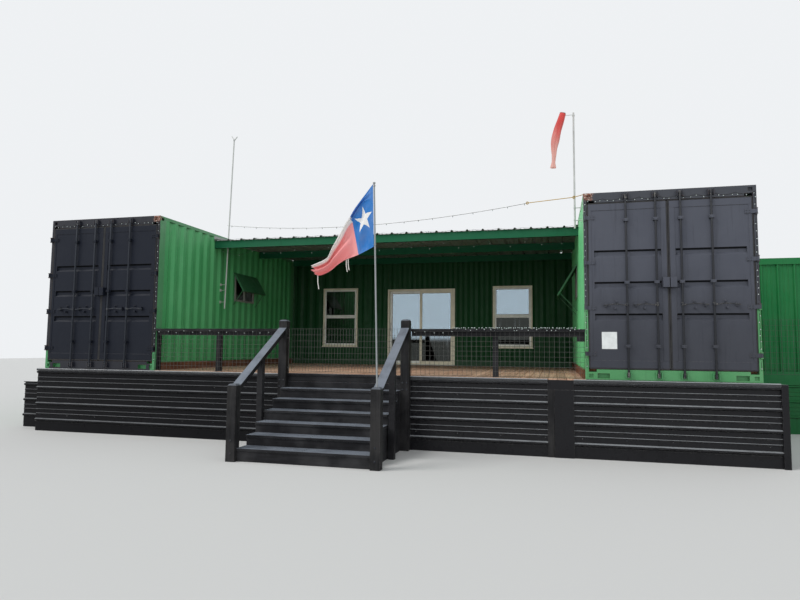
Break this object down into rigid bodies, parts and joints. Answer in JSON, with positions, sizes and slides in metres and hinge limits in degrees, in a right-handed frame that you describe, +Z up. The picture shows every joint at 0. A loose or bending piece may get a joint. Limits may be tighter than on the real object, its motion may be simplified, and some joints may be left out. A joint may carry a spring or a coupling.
{
  "type": "shipping container cabin",
  "caption": "Cabin of green shipping containers set in a U round a timber porch, with cargo doors, a sliding patio door, railings and a stair.",
  "frame": {"origin": "centre of the footprint's bounding box, on the level ground", "axes": "+Z up; +X to the right as seen from the porch's front; +Y from the stair to the rear container"},
  "size_m": [15.877, 10.358, 6.3825],
  "materials": {
    "green_paint": "weathered green container paint",
    "dark_paint": "charcoal door paint",
    "rod_steel": "painted lock rods",
    "skirt_steel": "glossy black sheet",
    "roof_steel": "grey ribbed sheet",
    "black_timber": "black stained timber",
    "deck_timber": "worn deck boards",
    "floor_timber": "container floor boards",
    "red_timber": "red brown boards",
    "pier_block": "rough brown blocks",
    "frame_vinyl": "almond window frames",
    "white_vinyl": "white window frames",
    "glass": "window glass",
    "wire_steel": "galvanised welded wire",
    "pole_paint": "white pole paint",
    "flag_cloth": "flag cloth"
  },
  "bodies": {
    "root": {"left_frame": "green_paint", "right_frame": "green_paint", "rear_frame": "green_paint", "left_outer_wall": "green_paint", "right_outer_wall": "green_paint", "left_porch_wall": "green_paint", "right_porch_wall": "green_paint", "side_end_walls": "green_paint", "rear_front_wall_left": "green_paint", "rear_front_wall_right": "green_paint", "rear_lintel": "green_paint", "rear_back_wall": "green_paint", "rear_end_walls": "green_paint", "container_roofs": "green_paint", "container_floors": "floor_timber", "door_keepers": "green_paint", "window_frames": "frame_vinyl", "window_glass": "glass", "patio_frame": "frame_vinyl", "hatch_frames": "white_vinyl", "hatch_flaps": "green_paint", "deck_boards": "deck_timber", "deck_frame": "deck_timber", "deck_posts": "deck_timber", "kick_boards": "red_timber", "piers": "pier_block", "skirt_left": "skirt_steel", "skirt_right": "skirt_steel", "skirt_sides": "skirt_steel", "stair_treads": "black_timber", "stair_risers": "black_timber", "stair_carriages": "black_timber", "newels": "black_timber", "handrails": "black_timber", "mesh_left": "wire_steel", "mesh_right": "wire_steel", "gate_eyes": "wire_steel", "porch_roof_sheet": "roof_steel", "porch_roof_beams": "green_paint", "wing_wall": "green_paint", "wing_frame": "green_paint", "wing_trellis": "wire_steel", "poles": "pole_paint", "flags": "flag_cloth"},
    "left_outer_leaf": {"left_outer_leaf": "dark_paint"},
    "left_inner_leaf": {"left_inner_leaf": "dark_paint"},
    "right_outer_leaf": {"right_outer_leaf": "dark_paint"},
    "right_inner_leaf": {"right_inner_leaf": "dark_paint"},
    "patio_slider": {"patio_slider": "white_vinyl", "patio_slider_glass": "glass"},
    "wire_gate": {"wire_gate": "wire_steel"},
    "left_rod_1": {"left_rod_1": "rod_steel"},
    "left_rod_2": {"left_rod_2": "rod_steel"},
    "left_rod_3": {"left_rod_3": "rod_steel"},
    "left_rod_4": {"left_rod_4": "rod_steel"},
    "right_rod_1": {"right_rod_1": "rod_steel"},
    "right_rod_2": {"right_rod_2": "rod_steel"},
    "right_rod_3": {"right_rod_3": "rod_steel"},
    "right_rod_4": {"right_rod_4": "rod_steel"}
  },
  "joints": [
    {"name": "right_outer_hinge", "type": "hinge", "parent": "root", "child": "right_outer_leaf", "pos_m": [5.3935, -3.408, 2.6], "axis": [0, 0, 1], "range_deg": [0, 255]},
    {"name": "right_inner_hinge", "type": "hinge", "parent": "root", "child": "right_inner_leaf", "pos_m": [2.9875, -3.408, 2.6], "axis": [0, 0, -1], "range_deg": [0, 170]},
    {"name": "left_outer_hinge", "type": "hinge", "parent": "root", "child": "left_outer_leaf", "pos_m": [-7.0705, -3.408, 2.6], "axis": [0, 0, -1], "range_deg": [0, 255]},
    {"name": "left_inner_hinge", "type": "hinge", "parent": "root", "child": "left_inner_leaf", "pos_m": [-4.6645, -3.408, 2.6], "axis": [0, 0, 1], "range_deg": [0, 170]},
    {"name": "right_rod_1_turn", "type": "hinge", "parent": "right_inner_leaf", "child": "right_rod_1", "pos_m": [3.5905, -3.416, 2.34], "axis": [0, 0, -1], "range_deg": [-95, 0]},
    {"name": "right_rod_2_turn", "type": "hinge", "parent": "right_inner_leaf", "child": "right_rod_2", "pos_m": [4.0155, -3.416, 2.34], "axis": [0, 0, -1], "range_deg": [-95, 0]},
    {"name": "right_rod_3_turn", "type": "hinge", "parent": "right_outer_leaf", "child": "right_rod_3", "pos_m": [4.3655, -3.416, 2.34], "axis": [0, 0, 1], "range_deg": [-95, 0]},
    {"name": "right_rod_4_turn", "type": "hinge", "parent": "right_outer_leaf", "child": "right_rod_4", "pos_m": [4.7905, -3.416, 2.34], "axis": [0, 0, 1], "range_deg": [-95, 0]},
    {"name": "left_rod_1_turn", "type": "hinge", "parent": "left_outer_leaf", "child": "left_rod_1", "pos_m": [-6.4675, -3.416, 2.34], "axis": [0, 0, -1], "range_deg": [-95, 0]},
    {"name": "left_rod_2_turn", "type": "hinge", "parent": "left_outer_leaf", "child": "left_rod_2", "pos_m": [-6.0425, -3.416, 2.34], "axis": [0, 0, -1], "range_deg": [-95, 0]},
    {"name": "left_rod_3_turn", "type": "hinge", "parent": "left_inner_leaf", "child": "left_rod_3", "pos_m": [-5.6925, -3.416, 2.34], "axis": [0, 0, 1], "range_deg": [-95, 0]},
    {"name": "left_rod_4_turn", "type": "hinge", "parent": "left_inner_leaf", "child": "left_rod_4", "pos_m": [-5.2675, -3.416, 2.34], "axis": [0, 0, 1], "range_deg": [-95, 0]},
    {"name": "patio_slide", "type": "slide", "parent": "root", "child": "patio_slider", "axis": [1, 0, 0], "range_m": [0, 0.78]},
    {"name": "gate_hinge", "type": "hinge", "parent": "root", "child": "wire_gate", "pos_m": [-1.9315, -3.446, 1.6], "axis": [0, 0, 1], "range_deg": [0, 95]}
  ]
}
